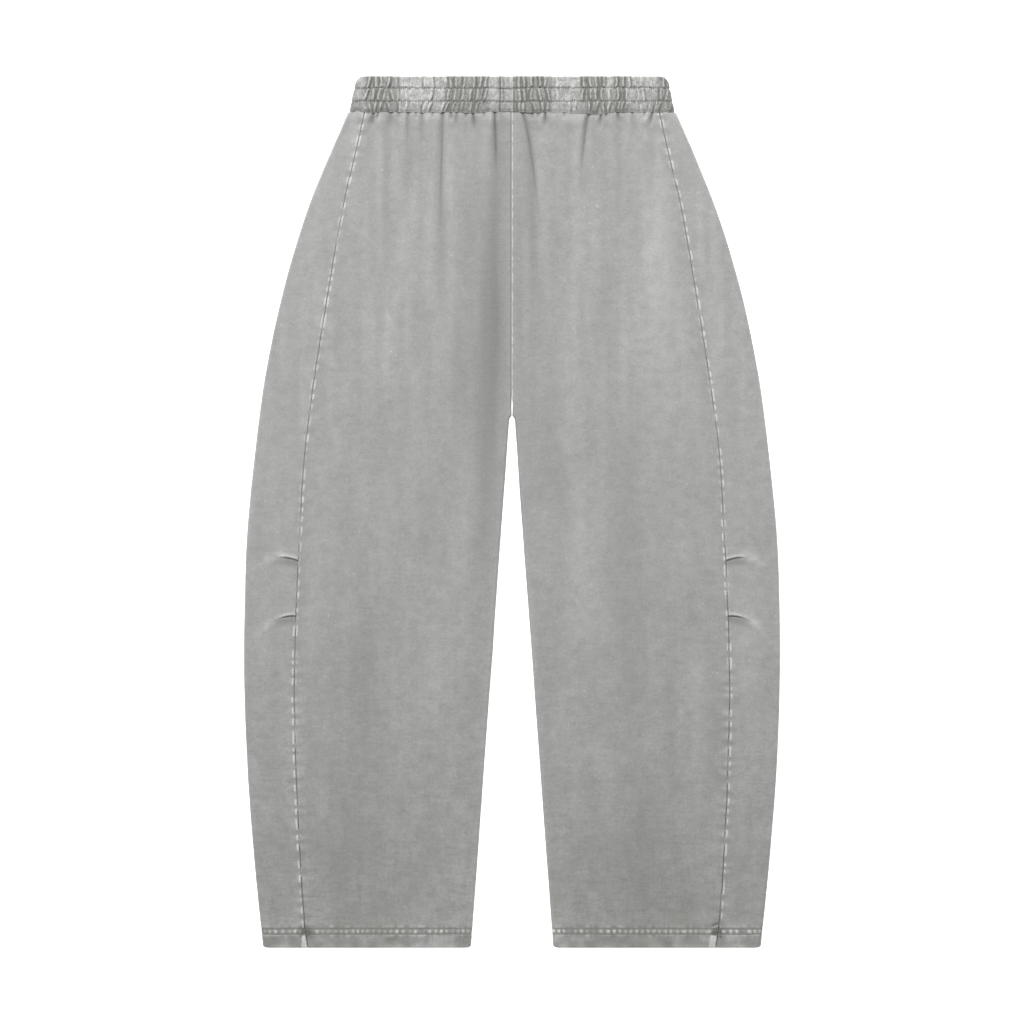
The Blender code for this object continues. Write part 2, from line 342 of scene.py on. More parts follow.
def stitched_hem(relief, seed):
    """The hem's stitched grooves, the pale pucker blobs between them and the fold below."""
    across, down = relief.across, relief.down
    for row in HEM_ROWS:
        relief.add(bell(down - row, 0.95), rise=-0.6)
        relief.add(bell(down - row, 0.7), deep=0.42)
    drift = strand(across, 1.5, (23, 10), seed) * 0.55
    blob = ease(0.5 + 0.62 * np.sin(2 * np.pi * (across / HEM_BLOB + drift)))
    blob = blob * np.clip(0.75 + 0.8 * strand(across, 4.5, (8, 10), seed + 1), 0, 1.2)
    lean = 0.35 * strand(across, 6.5, (5, 10), seed + 4)
    between = bell(down - sum(HEM_ROWS) / 2 - lean, 2.1)
    relief.add(between * blob, rise=0.55, worn=1.5)
    relief.add(between * (1 - blob), rise=-0.2, deep=0.4)
    ticks = strand(across, 2.5, (2.6, 10), seed + 2)
    above = bell(down - (HEM_ROWS[0] - 2.6), 1.8) * ease(HEM_ROWS[0] - down)
    below = bell(down - (HEM_ROWS[1] + 2.4), 2.2) * ease(down - HEM_ROWS[1])
    for share in (above, below):
        relief.patches(share, ticks, up=0.35, worn=0.5, sink=0.2, deep=0.4)
    relief.add(bell(down - LENGTH, 2.6), worn=0.4)
    turned = ease((down - HEM_ROWS[1] - 1) / 3)
    relief.patches(turned, relief.noise((10, 11), seed + 3), up=0.25, worn=0.3, sink=0.2, deep=0.38)


# %% [markdown]
# ## The wall
# Every piece is a loft: a grid of outer points and a grid of inner points, joined round the rim. The
# inner skin is plain and hardly seen, so it keeps only some of the rows and columns, and the rim's
# faces each take up the outer points between two inner ones.

# %% Closed walls from two grids


def put(name, data):
    """A new object in the scene."""
    thing = bpy.data.objects.new(name, data)
    bpy.context.scene.collection.objects.link(thing)
    return thing


def kept(count, step):
    """Every so many of a grid's rows or columns, always with the last one."""
    return sorted(set(range(0, count, step)) | {count - 1})


def quads(grid):
    """The four-sided faces between a grid's points."""
    corners = np.stack([grid[:-1, :-1], grid[:-1, 1:], grid[1:, 1:], grid[1:, :-1]], axis=-1)
    return corners.reshape(-1, 4).tolist()


def wall(name, side, outer, inner, relief, inner_rows, inner_columns, thin=None):
    """A closed mesh between the skins, in metres, with its paleness from wear and painted highlight
    and its darkness from dye and painted shade as attributes.

    thin, if it is given, is a row and the columns that the outer skin keeps below it. The faces at
    the two ends are shaded flat, so that they don't darken the cloth beside them."""
    rows, columns = outer.shape[:2]
    inner = inner[np.ix_(inner_rows, inner_columns)]
    points = np.concatenate([outer.reshape(-1, 3), inner.reshape(-1, 3)]) * SCALE[side]
    top = np.arange(rows * columns).reshape(rows, columns)
    low = rows * columns + np.arange(inner.shape[0] * inner.shape[1]).reshape(inner.shape[:2])
    last, lower_columns = thin or (rows - 1, list(range(columns)))
    faces = quads(low) + quads(top[: last + 1]) + quads(top[last + 1:, lower_columns])
    if thin:
        for a, b in zip(lower_columns, lower_columns[1:]):
            faces.append([*top[last, a: b + 1].tolist(), int(top[last + 1, b]), int(top[last + 1, a])])
    everywhere = list(range(max(rows, columns)))
    end_faces = range(len(faces), len(faces) + 2 * (len(inner_columns) - 1))
    for edge, below, stops, present in (
        (top[0], low[0], inner_columns, everywhere),
        (top[-1], low[-1], inner_columns, lower_columns),
        (top[:, 0], low[:, 0], inner_rows, everywhere),
        (top[:, -1], low[:, -1], inner_rows, everywhere),
    ):
        for k, (start, end) in enumerate(zip(stops, stops[1:])):
            run = [int(edge[place]) for place in present if start <= place <= end]
            faces.append([*run, int(below[k + 1]), int(below[k])])
    mesh = bpy.data.meshes.new(name)
    mesh.from_pydata(points.tolist(), [], faces)
    for field in ("worn", "deep"):
        values = np.zeros(len(points), dtype=np.float32)
        values[: rows * columns] = np.clip(getattr(relief, field), 0, 1).reshape(-1)
        mesh.attributes.new(field, "FLOAT", "POINT").data.foreach_set("value", values)
    shape = bmesh.new()
    shape.from_mesh(mesh)
    unused = [point for point in shape.verts if not point.link_faces]
    bmesh.ops.delete(shape, geom=unused, context="VERTS")
    bmesh.ops.recalc_face_normals(shape, faces=shape.faces)
    shape.to_mesh(mesh)
    shape.free()
    mesh.shade_smooth()
    for place in end_faces:
        mesh.polygons[place].use_smooth = False
    print(f"{name}: {rows} x {columns} points outside, {len(faces)} faces")
    return put(name, mesh)


# %% Skins: base places, the way out, and what is added
DEEPEST = 1.6
Skin = namedtuple("Skin", "across height out_across out_up")
Made = namedtuple("Made", "piece skin outer down")


def join(*parts):
    """Several stretches of a section, side by side, as one."""
    return Skin(*(np.concatenate(fields, axis=1) for fields in zip(*parts)))


def turned_over(skin, height):
    """The same stretch on the garment's underside."""
    return skin._replace(height=height - skin.height, out_up=-skin.out_up)


def level(across, height):
    """A flat stretch at the garment's upper side."""
    flat = across * 0
    return Skin(across, flat + height, flat, flat + 1)


def turned_edge(half, height, steps, ends):
    """The outer edge, round from the upper side to the underside; ends is 1 to have both of its ends."""
    angle = (np.pi / 2 - np.arange(1 - ends, steps + ends) * np.pi / steps)[None, :]
    radius = height / 2
    across = half - radius + radius * np.cos(angle)
    flat = across * 0
    return Skin(across, radius + radius * np.sin(angle) + flat, flat + np.cos(angle), flat + np.sin(angle))


def fold_end(down, length):
    """How far a wall's skin sinks towards its middle where the cloth is folded at its end."""
    inside = np.clip((down - (LENGTH - length)) / length, 0, 1)
    return length * (1 - np.sqrt(1 - inside**2))


def skins(skin, down, relief, thickness, end_drop):
    """Outer and inner points, as arrays of across, along and up in millimetres.

    Hollows that add up are kept shallower than DEEPEST, so the outer skin stays clear of the inner."""
    along = np.broadcast_to(LENGTH / 2 - down, skin.across.shape)
    hollow = -DEEPEST * np.tanh(-relief.rise / DEEPEST)
    out = np.where(relief.rise < 0, hollow, relief.rise) - end_drop
    up = np.maximum(skin.height + skin.out_up * out, 0.0)
    outer = np.stack([skin.across + skin.out_across * out, along, up], axis=-1)
    into = thickness - end_drop
    inner_up = skin.height - skin.out_up * into
    inner = np.stack([skin.across - skin.out_across * into, along, inner_up], axis=-1)
    return outer, inner


# %% Rows and columns shared by the leg panels
SEAM_SEEDS = {"right": 40, "left": 60}
LEG_ROWS = stepped(
    (PANEL_TOP, 0.75), (62, 1.2), (120, 2.0), (380, 1.2), (400, 2.0), (544, 0.8), (562, 2.0),
    (609, 0.8), (632, 2.0), (972, 0.6), (998, 0.25), (LENGTH, 1),
)
DENSE_DOWN = 175.0
DENSE_ROW = int(np.searchsorted(LEG_ROWS, DENSE_DOWN))
BESIDE = np.array([0.0, 0.4, 0.85, 1.3, 1.8, 2.35, 3.0, 3.8, 4.8])
LEG_DOWN = LEG_ROWS[:, None]
BELOW = LEG_DOWN - PANEL_TOP
LEG_HEIGHT = through(SECTIONS, "height", LEG_DOWN)
LEG_CLOTH = cloth_at(LEG_DOWN)
LEG_SEAM = through(SECTIONS, "seam", LEG_DOWN)
LEG_INSEAM = inseam(LEG_DOWN)
LEG_INNER_ROWS = kept(len(LEG_ROWS), 6)
SEAM_FREE = ease(BELOW / 25) * ease((LENGTH - LEG_DOWN) / 25)
HEM_FOLD = 1.8
LEG_END = fold_end(LEG_DOWN, HEM_FOLD)
ROLL_COLUMNS = 10
print("leg rows:", len(LEG_ROWS))


def rolled_edge():
    """A panel's inner edge: flat beside the centre seam, and rolled down to mid-height below it."""
    share = np.linspace(0, 1, ROLL_COLUMNS, endpoint=False)[None, :]
    angle = share * np.pi / 2
    radius, middle = LEG_HEIGHT / 2, (LEG_HEIGHT + SEAM_GAP) / 2
    roll = rolled(LEG_DOWN)
    across = LEG_INSEAM + radius * (share * (1 - roll) + (1 - np.cos(angle)) * roll)
    height = LEG_HEIGHT * (1 - roll) + (middle + (LEG_HEIGHT - middle) * np.sin(angle)) * roll
    out_across = -np.cos(angle) * roll + 0 * across
    out_up = (1 - roll) + np.sin(angle) * roll
    size = np.sqrt(out_across**2 + out_up**2)
    return Skin(across, height, out_across / size, out_up / size)


def upper_panel(step):
    """A front or back panel's section at each row, from the inseam to the side seam."""
    start = float(LEG_HEIGHT[0, 0]) / 2
    top_seam = SECTIONS[0].seam
    near = stepped((start, step), (top_seam - SEAM_GAP / 2 - BESIDE[-1], 1))
    share = ((near - start) / (near[-1] - start))[None, :]
    first = LEG_INSEAM + LEG_HEIGHT / 2
    across = near[None, :] + (LEG_SEAM - top_seam) * share**3 + (first - start) * (1 - share) ** 2
    across = np.concatenate([across, LEG_SEAM - SEAM_GAP / 2 - BESIDE[None, -2::-1]], axis=1)
    return join(rolled_edge(), level(across, LEG_HEIGHT))


def leg_panel(kind, side, skin, relief, aside, drop, inner_columns, thin=None):
    """A leg panel's wall, moved aside and down by the wander of its seams, and up to the waistband."""
    outer, inner = skins(skin, LEG_DOWN, relief, LEG_CLOTH, LEG_END)
    for points in (outer, inner):
        points[0, :, 1] += 0.9 * (PANEL_TOP - BAND_DEPTH)
        points[..., 0] += aside
        points[..., 1] -= drop
    name = f"{kind}_panel_{side}"
    piece = wall(name, side, outer, inner, relief, LEG_INNER_ROWS, inner_columns, thin)
    return Made(piece, skin, outer, LEG_ROWS)


# %% [markdown]
# ## Front panels
# The top edge is longer than the waistband and is gathered into it, so it falls into short pleats:
# narrow hollows with puffs between. A few run far down the leg, and each of these has its own row in
# the table, on each side, as uneven as on the real garment.

# %% Gathers and long creases
CREASE = "start foot length depth width bend"
CREASES = {
    "right": table(
        CREASE,
        (158.5, 163, 24, 2.2, 1.6), (153.5, 156, 12, 1.3, 1.1), (139, 140, 28, 0.7, 1.5),
        (130, 129, 10, 0.7, 1.1), (119, 120.5, 55, 0.9, 1.5), (110, 110, 9, 0.7, 1.0),
        (103, 104, 60, 0.9, 1.7), (91, 91, 9, 0.7, 1.0), (79.5, 84, 175, 1.35, 2.1),
        (70, 69, 12, 0.8, 1.0), (63.5, 64, 26, 0.8, 1.2), (53, 53, 9, 0.8, 1.0),
        (44.7, 42, 28, 2.5, 1.1), (32, 32, 8, 0.5, 1.0), (19.8, 17.8, 78, 2.7, 1.85),
        usual=(1.0,),
    ),
    "left": table(
        CREASE,
        (11.5, 36, 165, 1.5, 1.6, 0.68), (23, 24, 9, 0.7, 1.0), (38.2, 38.8, 22, 2.4, 1.2),
        (30, 30, 9, 0.6, 1.0), (60, 60, 8, 0.5, 1.0), (88.8, 77.5, 95, 2.0, 1.7, 0.6),
        (102, 101, 22, 2.3, 1.2), (108, 108, 8, 0.6, 1.0), (121, 124.5, 15, 1.7, 1.1),
        (138, 143, 38, 0.7, 1.5), (152, 152, 8, 0.6, 1.0), (161, 157, 21, 2.2, 1.4),
        usual=(1.0,),
    ),
}
BACK_CREASES = table(
    CREASE,
    (15, 16, 40, 1.0), (31, 30, 90, 0.8), (46, 47, 30, 1.3), (66, 68, 120, 0.9), (84, 83, 45, 1.2),
    (103, 104, 70, 0.8), (121, 123, 40, 1.2), (141, 144, 60, 0.9), (156, 158, 25, 1.2),
    usual=(2.4, 1.0),
)
PADS = {
    "right": ((167, 200, 0.6), (73.5, 131, 1.0), (14.5, 28, 0.9), (-20, 11, 0.7)),
    "left": ((-20, 1.5, 0.7), (44.5, 80, 0.85), (107.5, 117, 0.8), (129, 168, 0.7)),
}
SCALLOP_SEEDS = {"right": 10, "left": 30}
SAG = "across reach drop"
SAGS = {
    "right": table(SAG, (0, 20, -0.9), (46, 9, 0.9), (143, 5, -1.0), (161, 8, 1.2), (178, 5, -1.1)),
    "left": table(SAG, (0, 9, -0.9), (29, 15, 1.0), (70, 9, 0.8), (98, 15, 3.0), (167, 7, 1.0)),
}


def pad_share(across, pads):
    """One on a smooth pad and zero in a gathered cluster."""
    share = across * 0
    for low, high, strength in pads:
        here = ease((across - low + 1) / 5) * ease((high - across + 1) / 5)
        share = np.maximum(share, strength * here)
    return share


def scallop(across, from_seam, side):
    """How far the waistband seam hangs below its mean line, in millimetres, at a distance from it."""
    loose = ease((across - 16) / 6)
    drop = 0.7 * strand(across, 2.5, (7, 10), SCALLOP_SEEDS[side]) * loose
    for sag in SAGS[side]:
        drop = drop + sag.drop * bell(across - sag.across, sag.reach)
    return drop * ease(1 - from_seam / 9)


def gather(relief, creases, puff, pads):
    """The hollows under the waistband and the puffs between them, mostly where the band is gathered,
    with painted shade in the hollows and painted highlights on the puffs.
    """
    across, below = relief.across, relief.down - PANEL_TOP
    # Painted shade under the band in the gathered clusters
    relief.add(bell(below - 4, 9) * (1 - pads), deep=0.15)
    relief.add(bell(below - 4, 6) * pads, worn=0.06)
    hollows = np.zeros(across.shape)
    for crease in creases:
        t = np.clip(below / crease.length, 0, 1)
        off = across - (crease.start + (crease.foot - crease.start) * t**crease.bend)
        width = crease.width * (1 + 1.6 * t)
        fade = (1 - ease((t - 0.25) / 0.75)) * (below < crease.length)
        valley = bell(off, width) * fade
        relief.add(valley * (0.35 + 0.65 * ease(below / 5)), rise=-min(crease.depth, 1.1))
        # Painted shade in each crease's core, darkest just under the band
        core = bell(off, crease.width * (0.55 + 0.75 * t)) * fade**1.2 * (1 - 0.45 * t)
        relief.add(core, rise=-0.3, deep=0.44 * crease.depth)
        relief.add(core * bell(below, 5), deep=0.15)
        for lean in (-1, 1):
            shoulder = bell(off - lean * width * 2.3, width * 1.3) * fade
            relief.add(shoulder, rise=0.34 * crease.depth, worn=0.05)
        hollows = np.maximum(hollows, bell(off, 3.0) * fade)
    puffed = bell(below - 8, 9) + 0.45 * bell(below - 20, 26)
    relief.add(puffed * (1 - hollows), rise=puff)
    # Painted highlight on the puffs just under the band
    patchy = np.maximum(cloud(across, below, (9, 8), 61) + 0.25, 0)
    relief.add(bell(below - 5, 5) * (1 - hollows) * patchy, worn=0.3)
    hanging = (1 - ease((below - 60) / 170)) * ease(below / 12) * np.sign(puff)
    relief.add(hanging * cloud(across, below, (10, 110), 62), rise=0.55)
    relief.add(hanging * cloud(across, below, (21, 170), 63), rise=0.7)
    relief.add(bell(below - 2.4, 1.2), worn=0.1)
    relief.add(bell(below, 0.7), deep=0.14)


# %% Which side of the side seam is worn
STRIPS = {("side", "right"): (4.6, 7.2), ("front", "left"): (7.0, 7.8)}
FRONT_WEAR = {
    "right": table(
        "down share",
        (42, 0.9), (95, 0.7), (160, 0.8), (300, 0.6), (480, 0.9), (600, 0.95), (655, 0.25), (800, 0.1),
        (1000, 0.05),
    ),
    "left": table(
        "down share",
        (42, 0.7), (70, 0.5), (110, 0.2), (300, 0.15), (470, 0.2), (530, 0.9), (620, 0.9), (670, 0.2),
        (1000, 0.1),
    ),
}


def front_share(side):
    """Share of the pale ridge that lies on the front panel; the rest lies on the side panel."""
    return np.interp(LEG_DOWN, *zip(*FRONT_WEAR[side]))


def hem_crossing(relief, beside, strip_width):
    """Where the seam meets the hem: darker round the crossing, and a bulky pale strip below it.

    strip_width is the strip's width at its top and base, or None on the panel without it."""
    reach = np.hypot(np.maximum(beside, 0) - 1.0, (relief.down - 981.5) * 0.9)
    relief.add(bell(reach, 6.0) * (1 + 0.5 * relief.noise((2.5, 2.5), 35)), deep=0.75)
    relief.add(bell(reach, 4.0), worn=-0.8)
    if strip_width:
        top, base = strip_width
        past = relief.down - HEM_ROWS[1]
        width = top + (base - top) * ease(past / 15)
        inside = ease((beside - 0.6) / 0.8) * ease((width - beside) / 1.2 + 0.5)
        relief.add(inside * ease((past - 0.8) / 1.6), rise=0.5, worn=0.85, deep=-0.6)
        relief.add(bell(beside - width - 0.8, 1.0) * ease(past / 2), rise=-0.2, deep=0.35)


def hem_nip(relief, beside):
    """A small fold that was caught in the seam just above the hem."""
    off = relief.down - (HEM_ROWS[0] - 6.2 + 0.38 * beside)
    share = ease(beside / 0.8) * ease((12 - beside) / 5)
    # Painted shade in the fold's crease and a painted highlight on its ridge
    relief.add(share * bell(off, 1.2), rise=-0.8, deep=1.5)
    relief.add(share * bell(off - 1.9, 0.8), rise=0.4, worn=0.9)


# %% The two front panels
CENTRE_LINE = {"right": SeamLine(1.2, 0.6, 0.5), "left": SeamLine(0.0, 0.0, 0.42)}
CENTRE_RIDGE = {"right": 0.0, "left": 1.0}
SEAM_PULL = 0.35 + 0.6 * ease((180 - LEG_DOWN) / 120) + 0.85 * lower_leg(LEG_DOWN)
SIDE_DEEP = np.interp(LEG_DOWN, (100, 400, 620, 760, 920), (0.02, 0.07, 0.22, 0.38, 0.56))
SIDE_LINE = SeamLine(0.0, SIDE_DEEP, 0.95)


def front_panel(side):
    """One front panel, from the waistband seam to the hem."""
    seed = 10 if side == "right" else 30
    skin = upper_panel(0.74)
    beside = LEG_SEAM - skin.across
    relief = Relief(skin.across, LEG_DOWN)
    slack(relief, seed)
    soft_folds(relief, side)
    gather(relief, CREASES[side], 0.75, pad_share(skin.across, PADS[side]))
    centre_hold = 1 - rolled(LEG_DOWN)
    seam_edge(relief, skin.across, CENTRE_RIDGE[side], 3, centre_hold, 0.15, CENTRE_LINE[side])
    seam_edge(relief, beside, front_share(side), SEAM_SEEDS[side], 1.0, SEAM_PULL, SIDE_LINE)
    inner_edge = skin.across - LEG_INSEAM
    relief.add(rolled(LEG_DOWN) * bell(inner_edge, 6) * ease((LEG_DOWN - 420) / 200), worn=0.13)
    stitched_hem(relief, seed + 7)
    hem_crossing(relief, beside, STRIPS.get(("front", side)))
    if side == "left":
        hem_nip(relief, beside)
    aside = seam_wander(LEG_DOWN, SEAM_SEEDS[side]) * np.exp(-beside / 4) * SEAM_FREE
    drop = scallop(skin.across, BELOW, side) + hem_wander(skin.across, LEG_DOWN)
    columns = skin.across.shape[1]
    inner_columns = sorted({0, 4} | set(range(ROLL_COLUMNS, columns, 12)) | {columns - 1})
    fine = columns - len(BESIDE)
    lower_columns = sorted(set(range(0, fine, 2)) | set(range(fine, columns)) | set(inner_columns))
    thin = (DENSE_ROW, lower_columns)
    return leg_panel("front", side, skin, relief, aside, drop, inner_columns, thin)


# %% [markdown]
# ## Side panels
# Each side panel is one piece that wraps round the leg's outer edge, from the front seam to the back
# seam. At the knee two small tucks are caught in the front seam: a sharp fold, worn pale along its
# top and painted with a highlight there, with a painted shadow under it. They give the leg its
# barrel shape.

# %% Tucks and the side panel
TUCKS = table("down slope bend length", (556.2, -0.42, 0.0112, 27.5), (619.8, -0.13, 0.0145, 26.0))
TURN_STEPS = 14
FAR_AWAY = 99.0


def tuck(relief, beside, shape):
    """A tuck that starts at the seam and dies away across the panel."""
    under = relief.down - (shape.down + shape.slope * beside + shape.bend * beside**2)
    fade = (1 - ease((beside / shape.length - 0.35) / 0.65)) * (beside > 0)
    relief.add(fade * bell(under + 2.1, 1.7), rise=1.2)
    # Painted highlight along the fold's top, over its wear
    relief.add(fade * bell(under + 1.45, 0.8), worn=1.9)
    # Painted shadow: the dark line under the fold and the soft shade below it
    relief.add(fade * bell(under - 0.35, 0.85), rise=-1.1, deep=1.3)
    relief.add(fade * bell(under - 5, 5.5) * ease(under / 2), rise=-0.6, deep=0.4)
    ripple = bell(beside - shape.length - 2, 15) * bell(under + 1, 6)
    relief.add(ripple, rise=0.55)
    relief.add(ripple * (0.7 + 0.7 * relief.noise((6, 5), 45)), worn=0.42)
    # Painted shade in the hollow beyond the tuck
    hollow = bell(beside - shape.length * 0.75, 10) * bell(under - 8, 4.5)
    relief.add(hollow, rise=-0.5, deep=0.12)


def side_panel(side):
    """One side panel, from the front seam round the leg's edge to the back seam."""
    seed = 50 if side == "right" else 70
    edge = outline(LEG_DOWN)
    start, end = LEG_SEAM + SEAM_GAP / 2, edge - LEG_HEIGHT / 2
    near = start + BESIDE[None, :]
    first = near[:, -1:]
    far = first + (end - first) * np.linspace(0, 1, 26)[None, 1:-1]
    front = level(np.concatenate([near, far], axis=1), LEG_HEIGHT)
    back = level(np.concatenate([near[:, ::3], far[:, ::3]], axis=1)[:, ::-1], LEG_HEIGHT)
    turn = turned_edge(edge, LEG_HEIGHT, TURN_STEPS, 1)
    skin = join(front, turn, turned_over(back, LEG_HEIGHT))
    upper = skin.out_up >= 0
    beside = np.where(upper, skin.across - LEG_SEAM, FAR_AWAY)
    relief = Relief(skin.across, LEG_DOWN)
    slack(relief, seed)
    soft_folds(relief, side)
    seam_edge(relief, beside, 1.1 - front_share(side), SEAM_SEEDS[side], 1.0, SEAM_PULL, SIDE_LINE)
    from_edge = bell(edge - skin.across, 6) * upper
    # Painted highlight on the rounded outer edge, lifting the shade that falls on it
    relief.add(ease((skin.out_across - 0.45) / 0.5), worn=0.4)
    relief.add(from_edge * bell(LEG_DOWN - 600, 260), worn=0.08)
    if side == "right":
        relief.add(from_edge * (1 - bell(LEG_DOWN - 560, 220)), deep=0.1)
    for shape in TUCKS:
        tuck(relief, beside, shape)
    stitched_hem(relief, seed + 7)
    hem_crossing(relief, beside, STRIPS.get(("side", side)))
    relief.add(bell(BELOW - 6, 9) * upper, rise=0.7)
    relief.add(np.where(upper, 0, bell(skin.across - LEG_SEAM, 1.0)), rise=-0.8, deep=0.8)
    fade = np.where(upper, np.exp(-np.maximum(beside, 0) / 4), 0) * SEAM_FREE
    aside = seam_wander(LEG_DOWN, SEAM_SEEDS[side]) * fade
    drop = hem_wander(skin.across, LEG_DOWN) * np.clip(skin.out_up * 2, 0, 1)
    drop = drop + scallop(skin.across, BELOW, side)
    return leg_panel("side", side, skin, relief, aside, drop, kept(skin.across.shape[1], 3))


# %% Back panels


def back_panel(side):
    """One back panel, under the front one, with its own gathers and the centre back seam."""
    seed = 90 if side == "right" else 110
    skin = upper_panel(2.6)
    relief = Relief(skin.across, LEG_DOWN)
    gather(relief, BACK_CREASES, 0.0, 0.5)
    soft_folds(relief, side)
    relief.add(relief.noise((40, 90), seed) - 1, rise=0.12)
    seam_edge(relief, skin.across, 0.6, 5, 1 - rolled(LEG_DOWN), 0.2)
    seam_edge(relief, LEG_SEAM - skin.across, 0.5, seed)
    stitched_hem(relief, seed + 7)
    skin = turned_over(skin, LEG_HEIGHT)
    columns = skin.across.shape[1]
    inner_columns = sorted({0, 3, 6} | set(range(ROLL_COLUMNS, columns, 8)) | {columns - 1})
    return leg_panel("back", side, skin, relief, 0, scallop(skin.across, BELOW, side), inner_columns)


# %% [markdown]
# ## Waistband
# The band is a strip folded over a 40 mm elastic and stitched through in two rows, which makes three
# channels. The elastic shrinks it, so the cloth stands up in narrow ridges with smooth pads between.
# A ridge changes course at each row of stitching. Its table gives where it starts and ends in its
# channel, in millimetres from the centre, and how strong it is.

# %% The band's ridges and pads
BAND_ROWS = (14.5, 29.5)
CHANNEL_EDGES = (0.0, *BAND_ROWS, BAND_DEPTH)
CHANNEL = "paleness ridges"
CHANNELS = {
    "right": table(
        CHANNEL,
        (0.86, (
            (162, 165.5, 1.0), (156.3, 156.3, 0.8), (151, 151, 0.7), (140.5, 143.1, 1.1),
            (131.7, 131.7, 0.3), (100.2, 100.2, 0.8), (91, 89.6, 0.9), (71.6, 70.3, 1.0),
            (64.5, 64.5, 0.7), (55, 56.3, 0.8), (43.5, 43.5, 1.0), (34.8, 37.4, 0.9),
            (28.3, 30, 0.7), (13.2, 11.5, 0.3), (2.8, 2.8, 0.2),
        )),
        (0.66, (
            (164, 169.5, 0.9), (159, 160.2, 0.7), (150.6, 154.1, 1.0), (144, 147.5, 1.0),
            (138.7, 135.6, 0.7), (131.7, 131.7, 0.35), (121.7, 121.7, 0.3), (92.2, 94.4, 1.2),
            (71.6, 73.7, 1.1), (64.5, 66.7, 0.9), (55.9, 58.6, 1.0), (46.4, 48, 0.8),
            (39.2, 41.3, 0.8), (29.5, 33.1, 1.3), (11.7, 11.7, 0.3),
        )),
        (0.12, (
            (165, 162, 0.6), (155, 156.8, 0.8), (149.3, 152, 1.0), (143.3, 140, 0.8),
            (129.4, 129.4, 0.4), (120.4, 123.5, 0.5), (98.4, 101.9, 0.8), (92.2, 96.6, 0.9),
            (76.8, 80.9, 0.6), (72.5, 77.8, 1.2), (64.5, 68.9, 0.9), (56.7, 59.4, 0.9),
            (46.2, 48.5, 0.8), (38.7, 41.8, 1.2), (11.9, 11.9, 0.2),
        )),
    ),
    "left": table(
        CHANNEL,
        (0.9, (
            (3.8, 3.8, 0.3), (8.4, 8.4, 0.8), (12.5, 14.4, 1.0), (22.6, 22.6, 0.8),
            (30.5, 31.9, 1.2), (37.1, 37.1, 0.9), (50.3, 50.3, 0.4), (82.3, 82.3, 1.0),
            (88.9, 90.6, 1.0), (95.9, 97.7, 0.9), (105.2, 105.2, 1.2), (119.2, 119.2, 1.2),
            (127.1, 127.1, 0.9), (133.2, 135, 0.9), (148, 148, 0.3), (174.5, 174.5, 1.2),
        )),
        (0.58, (
            (8.2, 9.9, 0.8), (13.4, 14.6, 0.9), (23.5, 21.8, 1.0), (30.1, 33.2, 1.2),
            (39.9, 42.8, 1.1), (51, 51, 0.35), (82.8, 81, 1.1), (90.5, 90.5, 0.9),
            (95.9, 96.8, 0.9), (103, 103, 1.0), (110, 111.3, 0.6), (121.4, 121.4, 1.3),
            (131, 131, 1.3), (144, 144, 0.35), (149.7, 151.6, 0.6), (170.9, 170.9, 0.9),
            (178.9, 175.9, 0.6),
        )),
        (0.24, (
            (8.4, 8.4, 0.7), (13, 13, 0.6), (22.6, 26.6, 0.8), (33.7, 35.4, 0.9),
            (40.7, 39.4, 1.0), (65.6, 65.6, 0.5), (74.4, 71.3, 0.5), (88.2, 88.2, 1.0),
            (94.2, 91.6, 1.0), (99.9, 95.1, 0.9), (104.7, 106.9, 0.9), (113.1, 110, 0.9),
            (123.6, 121.4, 0.9), (128.4, 125.9, 0.8), (132.3, 129.7, 1.2), (148, 148, 0.35),
            (158.8, 154.7, 0.4), (166.4, 163.1, 1.0), (171.5, 166.4, 0.8), (181.8, 178.9, 0.5),
        )),
    ),
}
FLAT_ZONE = {"right": 14.0, "left": 13.0}
BAND_FOLD = 2.1
BAND_COLUMNS = 317
BAND_TURN_STEPS = 16
SHADED_FROM = 176


def band_channel(relief, top, base, ridges, seed, pads):
    """One channel's swell, and its ridges with a painted shadow beside each."""
    v = (relief.down - top) / (base - top)
    inside = ((v >= 0) & (v <= 1)) * 1.0
    hold = np.abs(2 * v - 1)
    if top == 0:
        hold = np.maximum(2 * v - 1, 0)
    if base == BAND_DEPTH:
        hold = np.maximum(1 - 2 * v, 0)
    relief.add(inside * (1 - hold**4), rise=0.55)
    chance = np.random.default_rng(seed)
    for head, foot, strength in ridges:
        bow = chance.uniform(-1.2, 1.2)
        line = head + (foot - head) * v + bow * 4 * v * (1 - v)
        lean = chance.choice((-1, 1))
        width = chance.uniform(0.95, 1.7) + 0.8 * chance.choice((-1, 1)) * (v - 0.5)
        off = relief.across - line
        share = inside * (1 - hold**6) * strength
        crest = 1 + 0.5 * strand(relief.down, head, (3.2, 9), seed + 3)
        relief.add(share * crest * bell(off, width), rise=1.3)
        relief.add(inside * (1 - hold**10) * strength * crest * bell(off, width * 0.95), worn=2.0)
        # Painted shade beside each ridge, stronger on one side and fainter on the pads
        dark = share * (1 - 0.45 * pads)
        relief.add(dark * bell(off - lean * 2.1, 1.1), rise=-0.85, deep=1.6)
        relief.add(dark * bell(off + lean * 2.3, 1.0), rise=-0.4, deep=0.42)


def band_row_wander(across, row, side):
    """How far a row of stitching wanders; it is straight where the band is joined."""
    loose = ease((across - FLAT_ZONE[side]) / 4)
    wander = 0.35 * strand(across, row, (7, 9), 21) + strand(across, row, (2.2, 9), 22)
    raised = 0.5 if side == "left" and row == BAND_ROWS[0] else 0.0
    return loose * wander + 0.6 * (1 - loose) - raised


